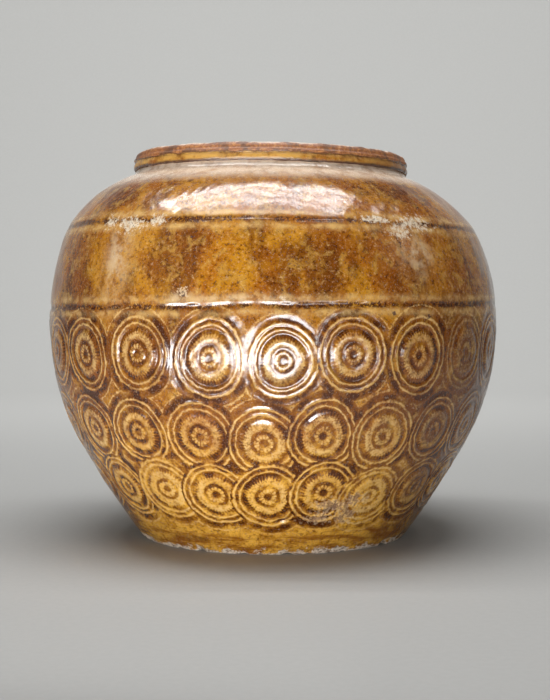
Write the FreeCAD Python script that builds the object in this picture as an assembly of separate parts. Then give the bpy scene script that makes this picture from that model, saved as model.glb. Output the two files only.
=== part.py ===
import FreeCAD, Part
import math
import os
from collections import namedtuple

from FreeCAD import Vector

# A wide-mouthed glazed stoneware storage jar, built as a potter builds one:
# a slab base, five wall courses joined by scarfed and slipped seams, a short
# collar and a lip coil folded over it. Three rows of pressed roundels circle
# the lower wall, and two turned grooves mark the upper joints.
# Millimetres, +Z up, origin at the centre of the foot, front towards -Y.

# Courses of clay, by their height up the outside
base_edge_height = 9.0
foot_course_height = 53.0
middle_course_height = 43.5
belly_course_height = 58.5
band_course_height = 53.5
shoulder_course_height = 35.5

# Outline of the wall
foot_radius = 95.0
belly_radius = 160.0
belly_drop = 14.0
lower_sweep_radius = 172.0
lower_sweep_height = 84.0
upper_sweep_radius = 168.0
shoulder_bulge = 3.9

# Clay thicknesses
wall = 9.0
base_thickness = 13.0
corner_coil_size = 8.0
corner_coil_hollow = 1.2

# Mouth, neck and collar
mouth_radius = 85.0
throat_drop = 5.0
throat_bulge = 1.2
collar_thickness = 6.5
collar_ledge = 5.0
neck_flare = 7.5
neck_rise = 5.5
neck_hollow = 1.6

# Lip coil: a glazed band, a turned line and a bead
lip_thickness = 6.5
lip_cap = 5.5
lip_band_height = 5.5
lip_band_bulge = 0.6
lip_bead_height = 7.0
lip_bead_bulge = 1.1
lip_line_depth = 1.0
lip_outer_round = 4.0
lip_inner_round = 3.0

# Seams between the courses, and the slip in the middle of each
scarf_angle = 20.0
slip_margin_share = 0.3
slip_thickness = 1.2

# Turned grooves over the two upper seams
groove_radius = 2.2
groove_depth = 1.3

# Pressed roundels: one oval stamp, repeated round the jar in three rows
stamp_half_width = 22.5
stamp_half_height = 25.0
stamp_depth = 1.2
stamp_ring_shares = ((0.62, 0.75), (0.27, 0.35), (0.0, 0.14))
lower_row_rise = 34.5
lower_row_count = 21
lower_row_turn_share = 0.91
middle_row_rise = 21.0
middle_row_count = 21
middle_row_turn_share = 0.87
upper_row_rise = 27.0
upper_row_count = 21
upper_row_turn_share = 0.13

# How far a cutting shape runs past what it cuts
overrun = 30.0
skin_overrun = 4.0

# Heights that follow from the courses
foot_seam_height = base_edge_height + foot_course_height
middle_seam_height = foot_seam_height + middle_course_height
belly_groove_height = middle_seam_height + belly_course_height
shoulder_height = belly_groove_height + band_course_height
neck_root_height = shoulder_height + shoulder_course_height
belly_height = belly_groove_height - belly_drop
lower_break_height = belly_height - lower_sweep_height
throat_height = neck_root_height - throat_drop
lip_underside = neck_root_height + neck_rise
jar_height = lip_underside + lip_band_height + lip_bead_height
collar_top = jar_height - lip_cap

# Radii that follow from the mouth
collar_radius = mouth_radius + collar_thickness
lip_radius = collar_radius + lip_thickness
neck_radius = collar_radius + collar_ledge
neck_root_radius = neck_radius + neck_flare

UP = Vector(0, 0, 1)
ORIGIN = Vector(0, 0, 0)

# A stretch of the outline: a circular arc given by its centre, its radius
# (negative where it is hollow) and the outward normals at its two ends.
Stretch = namedtuple("Stretch", "centre radius low_normal high_normal")
# A joint between two pieces: where it meets the outside, and its direction inwards.
Seam = namedtuple("Seam", "outer inward length")


def at(radius, height):
    """A point of the cross-section, in the plane y = 0."""
    return Vector(radius, 0, height)


def unit(vector):
    return vector / vector.Length


def below(direction):
    """The direction square to a seam's inward one, on the seam's lower side."""
    return Vector(-direction.z, 0, direction.x)


def line(start, end):
    return Part.LineSegment(start, end).toShape()


def arc(start, middle, end):
    return Part.Arc(start, middle, end).toShape()


def bulged(start, end, bulge):
    """An arc between two points that stands off its chord, to the right of the way from start to end."""
    chord = end - start
    aside = unit(Vector(chord.z, 0, -chord.x))
    return arc(start, (start + end) / 2 + aside * bulge, end)


def face(edges):
    return Part.Face(Part.Wire(edges))


def polygon(points):
    return Part.Face(Part.makePolygon(list(points) + [points[0]]))


def turned(section):
    """The solid that a cross-section makes when it turns once round the jar's axis."""
    return section.revolve(ORIGIN, UP, 360)


# Outline


def swept_point(stretch, normal, offset=0):
    return stretch.centre + normal * (stretch.radius + offset)


def normal_at_height(stretch, height):
    rise = (height - stretch.centre.z) / stretch.radius
    return Vector(math.sqrt(1 - rise * rise), 0, rise)


def belly_stretch(radius, low_height, high_height):
    """An arc whose widest point is the belly."""
    sweep = Stretch(at(belly_radius - radius, belly_height), radius, None, None)
    return sweep._replace(
        low_normal=normal_at_height(sweep, low_height),
        high_normal=normal_at_height(sweep, high_height),
    )


def foot_stretch(above):
    """The arc from the foot that runs smoothly into the stretch above it."""
    foot = at(foot_radius, 0)
    normal = above.low_normal
    chord = swept_point(above, normal) - foot
    radius = chord.dot(chord) / (2 * normal.dot(chord))
    centre = swept_point(above, normal) - normal * radius
    return Stretch(centre, radius, (foot - centre) / radius, normal)


def shoulder_stretch(below_it):
    """The arc from the shoulder's edge to the root of the neck. It meets the wall below at a break."""
    low = swept_point(below_it, below_it.high_normal)
    high = at(neck_root_radius, neck_root_height)
    chord = high - low
    outward = unit(Vector(chord.z, 0, -chord.x))
    half = chord.Length / 2
    radius = (half * half + shoulder_bulge * shoulder_bulge) / (2 * shoulder_bulge)
    centre = (low + high) / 2 - outward * (radius - shoulder_bulge)
    return Stretch(centre, radius, unit(low - centre), unit(high - centre))


def make_outline():
    """The stretches of the wall's outside, from the foot to the root of the neck."""
    lower = belly_stretch(lower_sweep_radius, lower_break_height, belly_height)
    upper = belly_stretch(upper_sweep_radius, belly_height, shoulder_height)
    return [foot_stretch(lower), lower, upper, shoulder_stretch(upper)]


def corners(outline, offset):
    """The ends of the stretches, moved outwards by offset and mitred where two meet at a break."""
    first, last = outline[0], outline[-1]
    found = [swept_point(first, first.low_normal, offset)]
    for lower, upper in zip(outline, outline[1:]):
        middle = unit(lower.high_normal + upper.low_normal)
        reach = offset / middle.dot(lower.high_normal)
        found.append(swept_point(lower, lower.high_normal) + middle * reach)
    found.append(swept_point(last, last.high_normal, offset))
    return found


def outline_edges(outline, offset):
    """The outline as arcs, moved outwards by offset."""
    ends = corners(outline, offset)
    edges = []
    for stretch, start, end in zip(outline, ends, ends[1:]):
        middle_normal = unit(stretch.low_normal + stretch.high_normal)
        edges.append(arc(start, swept_point(stretch, middle_normal, offset), end))
    return edges


def surface_at(outline, height, offset=0):
    """The point and the outward normal of the wall's surface at a height."""
    for stretch in outline:
        top = swept_point(stretch, stretch.high_normal, offset).z
        if height <= top or stretch is outline[-1]:
            break
    moved = stretch._replace(radius=stretch.radius + offset)
    normal = normal_at_height(moved, height)
    return swept_point(moved, normal), normal


def layer(outline, outside, inside):
    """The cross-section between two offsets of the outline."""
    outer = outline_edges(outline, outside)
    inner = outline_edges(outline, inside)
    outer_ends, inner_ends = corners(outline, outside), corners(outline, inside)
    foot_end = line(inner_ends[0], outer_ends[0])
    neck_end = line(outer_ends[-1], inner_ends[-1])
    return face([foot_end, *outer, neck_end, *reversed(inner)])


# Seams


def wall_seam(outline, height):
    """A scarfed seam, tilted from the square cut so that the upper course laps over the lower one."""
    outer, normal = surface_at(outline, height)
    tilt = FreeCAD.Rotation(Vector(0, 1, 0), scarf_angle)
    return Seam(outer, tilt.multVec(-normal), wall / math.cos(math.radians(scarf_angle)))


def base_seam(outline):
    """The seam that runs from the outside of the base slab to the inner corner of the floor."""
    outer, _ = surface_at(outline, base_edge_height)
    corner, _ = surface_at(outline, base_thickness, -wall)
    return Seam(outer, unit(corner - outer), (corner - outer).Length)


def neck_seam(outline):
    """The square cut at the top of the shoulder course."""
    outer = corners(outline, 0)[-1]
    inner = corners(outline, -wall)[-1]
    return Seam(outer, unit(inner - outer), wall)


def lip_seam():
    """The top of the collar, under the lip coil."""
    return Seam(at(collar_radius, collar_top), Vector(-1, 0, 0), collar_thickness)


def between(lower, upper):
    """The cross-section's space between two seams."""
    return polygon(
        [
            lower.outer - lower.inward * overrun,
            lower.outer + lower.inward * (lower.length + overrun),
            upper.outer + upper.inward * (upper.length + overrun),
            upper.outer - upper.inward * overrun,
        ]
    )


def slip_channel(seam):
    """The cross-section of the slip in the scored channel of a seam's lower face."""
    depth = below(seam.inward) * slip_thickness
    margin = seam.length * slip_margin_share
    start = seam.outer + seam.inward * margin
    end = seam.outer + seam.inward * (seam.length - margin)
    return polygon([start, end, end + depth, start + depth])


# Pieces that are turned from one cross-section


def groove(outline, height):
    """The cross-section of a turned groove."""
    point, normal = surface_at(outline, height)
    centre = point + normal * (groove_radius - groove_depth)
    return face([Part.Circle(centre, Vector(0, 1, 0), groove_radius).toShape()])


def wall_section(outline):
    """The whole wall with its two grooves, before it is parted at the seams."""
    cuts = [groove(outline, height) for height in (belly_groove_height, shoulder_height)]
    return layer(outline, 0, -wall).cut(cuts)


def base_section(outline, seam):
    floor_corner = seam.outer + seam.inward * seam.length
    edge_arc = outline[0]
    low, high = edge_arc.low_normal, surface_at(outline, base_edge_height)[1]
    edge = arc(
        swept_point(edge_arc, low),
        swept_point(edge_arc, unit(low + high)),
        swept_point(edge_arc, high),
    )
    return face(
        [
            line(at(0, 0), at(foot_radius, 0)),
            edge,
            line(seam.outer, floor_corner),
            line(floor_corner, at(0, base_thickness)),
            line(at(0, base_thickness), at(0, 0)),
        ]
    )


def corner_coil_section(outline, section):
    """The small coil that is pressed into the corner of floor and wall and smoothed to a hollow."""
    corner, _ = surface_at(outline, base_thickness, -wall)
    top, _ = surface_at(outline, base_thickness + corner_coil_size, -wall)
    start = at(corner.x - corner_coil_size, base_thickness)
    blank = face(
        [
            bulged(start, top, corner_coil_hollow),
            line(top, at(top.x + wall, top.z)),
            line(at(top.x + wall, top.z), at(top.x + wall, base_thickness)),
            line(at(top.x + wall, base_thickness), start),
        ]
    )
    return blank.cut(section)


def collar_section(outline):
    root, inner_root = corners(outline, 0)[-1], corners(outline, -wall)[-1]
    neck_top = at(neck_radius, lip_underside)
    throat = at(mouth_radius, throat_height)
    return face(
        [
            bulged(neck_top, root, -neck_hollow),
            line(neck_top, at(collar_radius, lip_underside)),
            line(at(collar_radius, lip_underside), at(collar_radius, collar_top)),
            line(at(collar_radius, collar_top), at(mouth_radius, collar_top)),
            line(at(mouth_radius, collar_top), throat),
            bulged(inner_root, throat, -throat_bulge),
            line(inner_root, root),
        ]
    )


def lip_section():
    """The coil folded over the collar: a band, a turned line and a rounded bead with a flat top."""
    line_height = lip_underside + lip_band_height
    line_bottom = at(lip_radius - lip_line_depth, line_height)
    band_foot = at(lip_radius - lip_band_bulge, lip_underside)
    bead_side = at(lip_radius - lip_bead_bulge, jar_height - lip_outer_round)
    top_outer = at(bead_side.x - lip_outer_round, jar_height)
    top_inner = at(mouth_radius + lip_inner_round, jar_height)
    bore_top = at(mouth_radius, jar_height - lip_inner_round)
    outer_centre = at(top_outer.x, bead_side.z)
    inner_centre = at(top_inner.x, bore_top.z)
    diagonal = math.sqrt(0.5)
    outer_middle = outer_centre + at(diagonal, diagonal) * lip_outer_round
    inner_middle = inner_centre + at(-diagonal, diagonal) * lip_inner_round
    return face(
        [
            line(at(collar_radius, lip_underside), band_foot),
            bulged(band_foot, line_bottom, lip_band_bulge),
            bulged(line_bottom, bead_side, lip_bead_bulge),
            arc(bead_side, outer_middle, top_outer),
            line(top_outer, top_inner),
            arc(top_inner, inner_middle, bore_top),
            line(bore_top, at(mouth_radius, collar_top)),
            line(at(mouth_radius, collar_top), at(collar_radius, collar_top)),
            line(at(collar_radius, collar_top), at(collar_radius, lip_underside)),
        ]
    )


# Pressed roundels


def oval(share):
    """The stamp's outline at a share of its size, in its own plane: x up the wall, y round the jar."""
    across, up = stamp_half_width * share, stamp_half_height * share
    edge = Part.Ellipse(ORIGIN, max(across, up), min(across, up)).toShape()
    if across > up:
        edge.rotate(ORIGIN, UP, 90)
    return face([edge])


def stamp_tool(outline, height, step):
    """What one roundel takes out of the wall on the +X side: rings of even depth under the surface."""
    skin = layer(outline, skin_overrun, -stamp_depth)
    skin.rotate(ORIGIN, UP, -step)
    sector = skin.revolve(ORIGIN, UP, 2 * step)
    point, normal = surface_at(outline, height)
    up_the_wall = Vector(-normal.z, 0, normal.x)
    stand = FreeCAD.Placement(point, FreeCAD.Rotation(up_the_wall, Vector(0, 1, 0), normal, "ZXY"))
    rings = []
    for inner, outer in stamp_ring_shares:
        ring = oval(outer)
        if inner:
            ring = ring.cut(oval(inner))
        tool = ring.extrude(UP * 2 * overrun)
        tool.translate(-UP * overrun)
        tool.Placement = stand * tool.Placement
        rings.append(tool.common(sector))
    return rings


def is_step_side(surface):
    """Whether a face is one of the upright planes where one step of a stamped course meets the next."""
    return isinstance(surface, Part.Plane) and abs(surface.Axis.z) < surface.Axis.cross(UP).Length


def stamped(section, outline, height, count, turn_share):
    """A course in equal steps, each pressed once. The first is turn_share of a step from the front."""
    step = 360 / count
    front = -90
    start = section.copy()
    start.rotate(ORIGIN, UP, -step / 2)
    pressed = start.revolve(ORIGIN, UP, step).cut(stamp_tool(outline, height, step))
    skin = [one for one in pressed.Faces if not is_step_side(one.Surface)]
    skins = []
    for number in range(count):
        for one in skin:
            copy = one.copy()
            copy.rotate(ORIGIN, UP, front + (number + turn_share) * step)
            skins.append(copy)
    joined = Part.makeCompound(skins)
    joined.sewShape()
    return Part.makeSolid(joined.Shells[0])


# The whole jar


def make_jar():
    """Every piece of the jar by name."""
    outline = make_outline()
    section = wall_section(outline)
    seams = {
        "base": base_seam(outline),
        "foot": wall_seam(outline, foot_seam_height),
        "middle": wall_seam(outline, middle_seam_height),
        "belly": wall_seam(outline, belly_groove_height),
        "shoulder": wall_seam(outline, shoulder_height),
        "neck": neck_seam(outline),
        "lip": lip_seam(),
    }
    sections = {
        "base_slab": base_section(outline, seams["base"]),
        "base_corner_coil": corner_coil_section(outline, section),
        "foot_course": section.common(between(seams["base"], seams["foot"])),
        "middle_course": section.common(between(seams["foot"], seams["middle"])),
        "belly_course": section.common(between(seams["middle"], seams["belly"])),
        "band_course": section.common(between(seams["belly"], seams["shoulder"])),
        "shoulder_course": section.common(between(seams["shoulder"], seams["neck"])),
        "neck_collar": collar_section(outline),
        "lip_coil": lip_section(),
    }
    # The piece below each seam holds that seam's slip.
    holders = {
        "base": "base_slab",
        "foot": "foot_course",
        "middle": "middle_course",
        "belly": "belly_course",
        "shoulder": "band_course",
        "neck": "shoulder_course",
        "lip": "neck_collar",
    }
    for name, holder in holders.items():
        slip = slip_channel(seams[name])
        sections[holder] = sections[holder].cut(slip)
        sections[f"{name}_slip"] = slip
    rows = {
        "foot_course": (base_edge_height + lower_row_rise, lower_row_count, lower_row_turn_share),
        "middle_course": (foot_seam_height + middle_row_rise, middle_row_count, middle_row_turn_share),
        "belly_course": (middle_seam_height + upper_row_rise, upper_row_count, upper_row_turn_share),
    }
    pieces = {}
    for name, shape in sections.items():
        section = shape.Faces[0]
        pieces[name] = stamped(section, outline, *rows[name]) if name in rows else turned(section)
    return pieces


def export(pieces):
    os.makedirs("parts", exist_ok=True)
    for name, shape in pieces.items():
        shape.exportStep(f"parts/{name}.step")
        print(name, len(shape.Solids), "solid", shape.isValid(), round(shape.Volume), "mm3")


export(make_jar())
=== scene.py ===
import math
from collections import namedtuple

import bmesh
import bpy
import numpy as np
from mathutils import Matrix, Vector


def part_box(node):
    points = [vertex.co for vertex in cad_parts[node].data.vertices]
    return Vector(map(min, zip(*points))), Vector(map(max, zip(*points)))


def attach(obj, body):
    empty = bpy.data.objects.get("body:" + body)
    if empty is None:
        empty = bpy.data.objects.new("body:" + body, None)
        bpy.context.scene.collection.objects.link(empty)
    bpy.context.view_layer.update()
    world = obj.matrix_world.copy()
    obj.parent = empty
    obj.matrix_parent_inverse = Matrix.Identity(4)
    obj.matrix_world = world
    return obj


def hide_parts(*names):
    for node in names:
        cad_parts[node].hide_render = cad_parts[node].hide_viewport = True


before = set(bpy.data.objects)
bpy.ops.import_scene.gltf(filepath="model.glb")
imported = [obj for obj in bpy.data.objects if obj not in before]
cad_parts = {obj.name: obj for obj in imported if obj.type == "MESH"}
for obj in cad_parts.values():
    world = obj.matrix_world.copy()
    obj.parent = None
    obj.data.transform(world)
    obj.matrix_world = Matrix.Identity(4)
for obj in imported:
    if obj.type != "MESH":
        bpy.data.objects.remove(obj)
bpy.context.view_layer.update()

# A squat stoneware storage jar: each clay course is a ring whose outside carries the
# pressed roundels, turned lines and hand marks in its own mesh, under a mottled glaze.
# Metres, +Z up, origin at the centre of the foot, front towards -Y.
# A turn is an angle round the axis from the front, positive to the right.

# Outline of the wall
FOOT_RADIUS = 0.095
BELLY_RADIUS = 0.160
BELLY_HEIGHT = 0.150
LOWER_SWEEP = 0.172
LOWER_BREAK_HEIGHT = 0.066
UPPER_SWEEP = 0.168
SHOULDER_BULGE = 0.0039
WALL = 0.009

# Heights of the joints between the courses
BASE_EDGE_HEIGHT = 0.009
FOOT_SEAM_HEIGHT = 0.062
MIDDLE_SEAM_HEIGHT = 0.1055
LOWER_LINE_HEIGHT = 0.164
UPPER_LINE_HEIGHT = 0.2175
NECK_ROOT_HEIGHT = 0.253
FLOOR_HEIGHT = 0.013

# Neck, collar and lip
MOUTH_RADIUS = 0.085
COLLAR_RADIUS = 0.0915
NECK_RADIUS = 0.0965
NECK_ROOT_RADIUS = 0.104
NECK_HOLLOW = 0.0016
THROAT_HEIGHT = 0.248
THROAT_BULGE = 0.0012
LIP_RADIUS = 0.098
LIP_UNDERSIDE = 0.2585
LIP_LINE_HEIGHT = 0.264
LIP_LINE_DEPTH = 0.001
LIP_BAND_BULGE = 0.0006
LIP_BEAD_BULGE = 0.0011
LIP_TOP = 0.271
LIP_CAP = 0.0055
LIP_OUTER_ROUND = 0.004
LIP_INNER_ROUND = 0.003
LIP_BAND_BULGE_SHARE = 1.6

# Turned lines over the two upper joints
LINE_DEPTH = 0.0008
LINE_HALF_WIDTH = 0.0021
UPPER_LINE_HALF_WIDTH = 0.0022
UPPER_LINE_SHARE = 0.5
LINE_RIDGE_SHARE = 2.1
LINE_WANDER = 0.0004
LINE_BITE_SHARE = 0.85
LINE_BITE_STRAY_SHARE = 0.3
LINE_BITE_LIMIT_SHARES = (0.45, 1.25)

# Roundels: one oval stamp. Its pressed depth is given over its radius, both as shares.
STAMP_HALF_WIDTH = 0.0225
STAMP_HALF_HEIGHT = 0.025
STAMP_DEPTH = 0.0011
STAMP_RIM_SHARE = 1.06
STAMP_EDGE_SHARE = 1.26
STAMP_PROFILE_SHARES = (
    (0.00, 0.70), (0.10, 0.64), (0.16, 0.25), (0.20, 0.18), (0.25, 0.26), (0.29, 0.50), (0.34, 0.50),
    (0.41, 0.26), (0.49, 0.12), (0.57, 0.28), (0.635, 0.80), (0.70, 1.00), (0.755, 0.45), (0.795, 0.22),
    (0.835, 0.34), (0.87, 0.55), (0.90, 0.52), (0.94, 0.20), (0.975, 0.16), (1.035, 0.45), (1.10, 0.40),
    (1.18, 0.12), (STAMP_EDGE_SHARE, 0.00),
)
# How dark the glaze pools over the same radius
STAMP_POOL_SHARES = (
    (0.00, 0.90), (0.09, 0.86), (0.14, 0.25), (0.18, 0.10), (0.23, 0.20), (0.28, 0.78), (0.33, 0.78),
    (0.39, 0.25), (0.46, 0.12), (0.54, 0.20), (0.62, 0.80), (0.69, 1.00), (0.74, 0.55), (0.79, 0.08),
    (0.82, 0.40), (0.86, 0.80), (0.90, 0.70), (0.94, 0.10), (0.97, 0.20), (1.02, 0.95), (1.10, 1.00),
    (1.17, 0.60), (STAMP_EDGE_SHARE, 0.00),
)
STAMP_RIM_BLEND_SHARE = 0.07
STAMP_REACH_RADIANS = 0.36
STAMP_TEETH = 42
BOSS_NICKS = 13
POOL_REACH_SHARE = 1.1
POOL_STRAY_SHARE = 0.024
CUT_SHARE = 0.22
TEETH_STOP_SHARES = ((0.50, 0.0), (0.59, 1.0), (0.65, 1.0), (0.70, 0.0))
NICK_STOP_SHARES = ((0.12, 0.0), (0.18, 1.0), (0.24, 1.0), (0.29, 0.0))
RIM_STOP_SHARES = ((0.75, 0.0), (0.79, 1.0), (0.83, 0.0), (0.91, 0.0), (0.955, 1.0), (1.0, 0.0))

# Where the roundels that face the photograph lie: turn in degrees, height in metres
UPPER_ROW = (
    (-67, 0.134), (-50.2, 0.1335), (-32.3, 0.1345), (-14.3, 0.132), (2.3, 0.130), (18.2, 0.1335),
    (35.6, 0.132), (52.5, 0.1335), (68.5, 0.1325),
)
MIDDLE_ROW = (
    (-53.5, 0.083), (-36.0, 0.0835), (-18.2, 0.082), (-2.3, 0.0785), (12.3, 0.083), (28.6, 0.081),
    (45.9, 0.0825), (62.6, 0.083),
)
LOWER_ROW = (
    (-51.9, 0.043), (-33.1, 0.045), (-17.1, 0.043), (-1.6, 0.0425), (14.8, 0.0445), (30.5, 0.040),
    (49.7, 0.0425), (66.9, 0.0435),
)
FAINT = ((30.5, 0.040), (-33.1, 0.045), (52.5, 0.1335))
FAINT_SHARE = 0.55
ROW_STEP = 17.2
UPPER_ROW_HEIGHT = 0.1325
MIDDLE_ROW_HEIGHT = 0.082
LOWER_ROW_HEIGHT = 0.0432

# How unevenly the potter's hand set and pressed the stamp
ROW_STRAY_TURN = 0.9
ROW_STRAY_HEIGHT = 0.0012
STAMP_SIZE_STRAY_SHARE = 0.02
STAMP_PRESS_SHARES = (0.72, 1.08)
STAMP_LEAN_SHARE = 0.16
STAMP_WOBBLE_SHARE = 0.012

# Steps of the meshes
COLUMNS = 1152
FINE_STEP = 0.0009
PLAIN_STEP = 0.0013
LINE_STEP = 0.00045
LINE_REACH = 0.0036
INNER_STEP = 0.009
LIP_BAND_STEPS = 15
LIP_BEAD_STEPS = 8
LIP_OUTER_STEPS = 9
LIP_INNER_STEPS = 8
NECK_STEPS = 12
THROAT_STEPS = 6
UNDERSIDE_STEPS = 24
FLOOR_STEPS = 6
OUTLINE_TABLE_STEPS = 2000
WELD = 1e-7
LEAST_LENGTH = 1e-9
# A place well outside every roundel
OUTSIDE_SHARE = 2.0

# Camera, as read from the photograph: 550 by 700 pixels
IMAGE_HEIGHT = 700
SENSOR = 36.0
FOCAL_PIXELS = 1322
EYE_LEVEL_PIXEL = 305
CAMERA_DISTANCE = 0.960
CAMERA_HEIGHT = 0.1644
CAMERA_ASIDE = 0.0011
CAMERA_CLIP = 0.01

Arc = namedtuple("Arc", "centre_radius centre_height sweep")
Section = namedtuple("Section", "radius height out up skin along")
Stamp = namedtuple("Stamp", "turn height half_width half_height twist press lean_across lean_up wobble")
Mark = namedtuple("Mark", "turn height across tall depth", defaults=(0.0,))
Lamp = namedtuple("Lamp", "name place target width tall radiance fan", defaults=(180,))

HAND_SEED = 20
random = np.random.default_rng(HAND_SEED)


# Outline


def foot_arc(lower):
    """The arc from the foot that runs smoothly into the lower sweep."""
    rise = (LOWER_BREAK_HEIGHT - lower.centre_height) / lower.sweep
    normal = Vector((math.sqrt(1 - rise * rise), rise))
    top = Vector((lower.centre_radius, lower.centre_height)) + normal * lower.sweep
    chord = top - Vector((FOOT_RADIUS, 0))
    sweep = chord.dot(chord) / (2 * normal.dot(chord))
    centre = top - normal * sweep
    return Arc(centre.x, centre.y, sweep)


def shoulder_arc(upper):
    """The arc from the upper line to the root of the neck, which meets the wall below at a break."""
    rise = UPPER_LINE_HEIGHT - upper.centre_height
    low = Vector((upper.centre_radius + math.sqrt(upper.sweep**2 - rise**2), UPPER_LINE_HEIGHT))
    high = Vector((NECK_ROOT_RADIUS, NECK_ROOT_HEIGHT))
    chord = high - low
    outward = Vector((chord.y, -chord.x)).normalized()
    half = chord.length / 2
    sweep = (half**2 + SHOULDER_BULGE**2) / (2 * SHOULDER_BULGE)
    centre = (low + high) / 2 - outward * (sweep - SHOULDER_BULGE)
    return Arc(centre.x, centre.y, sweep)


LOWER_ARC = Arc(BELLY_RADIUS - LOWER_SWEEP, BELLY_HEIGHT, LOWER_SWEEP)
UPPER_ARC = Arc(BELLY_RADIUS - UPPER_SWEEP, BELLY_HEIGHT, UPPER_SWEEP)
WALL_ARCS = (foot_arc(LOWER_ARC), LOWER_ARC, UPPER_ARC, shoulder_arc(UPPER_ARC))
WALL_BREAKS = (LOWER_BREAK_HEIGHT, BELLY_HEIGHT, UPPER_LINE_HEIGHT)


def wall_at(height):
    """Radius and outward normal of the wall's outside at heights."""
    which = np.searchsorted(WALL_BREAKS, height)
    arcs = np.array(WALL_ARCS)[which]
    up = (height - arcs[..., 1]) / arcs[..., 2]
    out = np.sqrt(1 - up**2)
    return arcs[..., 0] + arcs[..., 2] * out, out, up


TABLE_HEIGHTS = np.linspace(0, NECK_ROOT_HEIGHT, OUTLINE_TABLE_STEPS)
TABLE_LENGTHS = np.concatenate(
    ([0], np.cumsum(np.hypot(np.diff(wall_at(TABLE_HEIGHTS)[0]), np.diff(TABLE_HEIGHTS))))
)


def length_up(height):
    """Length of the outline from the foot up to a height."""
    return np.interp(height, TABLE_HEIGHTS, TABLE_LENGTHS)


# Sections


def spaced(low, high, step, fine_low=False, fine_high=False):
    """Heights from low to high, even along the wall and closer together beside a turned line."""
    start, end = length_up(low), length_up(high)
    lengths = [np.linspace(start, end, max(2, round((end - start) / step) + 1))]
    fine = np.arange(0, LINE_REACH, LINE_STEP)
    if fine_low:
        lengths = [start + fine, lengths[0][lengths[0] > start + LINE_REACH]]
    if fine_high:
        lengths = lengths[:-1] + [lengths[-1][lengths[-1] < end - LINE_REACH], np.flip(end - fine)]
    heights = np.interp(np.concatenate(lengths), TABLE_LENGTHS, TABLE_HEIGHTS)
    heights[0], heights[-1] = low, high
    return heights


def course_section(low, high, step, fine_low=False, fine_high=False):
    """A wall course: its outside from low to high, and its inside back down."""
    outer = spaced(low, high, step, fine_low, fine_high)
    inner = spaced(low, high, INNER_STEP)[::-1]
    height = np.concatenate((outer, inner))
    radius, out, up = wall_at(height)
    skin = np.concatenate((np.ones(len(outer)), np.zeros(len(inner))))
    depth = (1 - skin) * WALL
    return Section(radius - out * depth, height - up * depth, out, up, skin, skin * height)


def bulged(start, end, bulge, steps):
    """Points of an arc that stands off its chord, to the right of the way from start to end."""
    start, end = np.array(start), np.array(end)
    chord = end - start
    aside = np.array((chord[1], -chord[0])) / np.hypot(*chord)
    share = np.linspace(0, 1, steps)[:, None]
    return start + chord * share + aside * bulge * 4 * share * (1 - share)


def quarter(centre, radius, start, steps):
    """Points of a quarter turn, anticlockwise from an angle in degrees."""
    angle = np.radians(start + np.linspace(0, 90, steps))
    return np.stack((centre[0] + radius * np.cos(angle), centre[1] + radius * np.sin(angle)), axis=1)


def outline_section(points, skin):
    """A section from a run of points, with its normals taken from the run itself."""
    points = np.array(points)
    along = np.roll(points, -1, axis=0) - np.roll(points, 1, axis=0)
    along /= np.maximum(np.hypot(along[:, 0], along[:, 1]), LEAST_LENGTH)[:, None]
    share = np.linspace(0, 1, len(points))
    return Section(points[:, 0], points[:, 1], along[:, 1], -along[:, 0], np.array(skin, float), share)


def lip_section():
    """The folded lip: glazed band, turned line, bare bead, flat top, mouth, and its seat on the collar."""
    band_foot = (LIP_RADIUS - LIP_BAND_BULGE, LIP_UNDERSIDE)
    line = (LIP_RADIUS - LIP_LINE_DEPTH, LIP_LINE_HEIGHT)
    bead_radius = LIP_RADIUS - LIP_BEAD_BULGE
    bead_height = LIP_TOP - LIP_OUTER_ROUND
    outer_centre = (bead_radius - LIP_OUTER_ROUND, bead_height)
    inner_centre = (MOUTH_RADIUS + LIP_INNER_ROUND, LIP_TOP - LIP_INNER_ROUND)
    runs = (
        bulged(band_foot, line, LIP_BAND_BULGE * LIP_BAND_BULGE_SHARE, LIP_BAND_STEPS),
        bulged(line, (bead_radius, bead_height), LIP_BEAD_BULGE, LIP_BEAD_STEPS)[1:],
        quarter(outer_centre, LIP_OUTER_ROUND, 0, LIP_OUTER_STEPS)[1:],
        quarter(inner_centre, LIP_INNER_ROUND, 90, LIP_INNER_STEPS),
    )
    seat = (
        (MOUTH_RADIUS, LIP_TOP - LIP_CAP),
        (COLLAR_RADIUS, LIP_TOP - LIP_CAP),
        (COLLAR_RADIUS, LIP_UNDERSIDE),
    )
    shown = np.concatenate(runs)
    return outline_section(np.concatenate((shown, seat)), [1] * len(shown) + [0] * len(seat))


def collar_section():
    """The collar: hollow neck outside, upstand inside the lip, throat, and its joint with the shoulder."""
    _, out, up = wall_at(np.array(NECK_ROOT_HEIGHT))
    inner_root = (NECK_ROOT_RADIUS - out * WALL, NECK_ROOT_HEIGHT - up * WALL)
    root = (NECK_ROOT_RADIUS, NECK_ROOT_HEIGHT)
    neck = bulged(root, (NECK_RADIUS, LIP_UNDERSIDE), -NECK_HOLLOW, NECK_STEPS)
    collar_top = LIP_TOP - LIP_CAP
    upstand = ((COLLAR_RADIUS, LIP_UNDERSIDE), (COLLAR_RADIUS, collar_top), (MOUTH_RADIUS, collar_top))
    throat = bulged((MOUTH_RADIUS, THROAT_HEIGHT), inner_root, THROAT_BULGE, THROAT_STEPS)
    points = np.concatenate((neck, upstand, throat))
    return outline_section(points, [1] * len(neck) + [0] * (len(upstand) + len(throat)))


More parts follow.
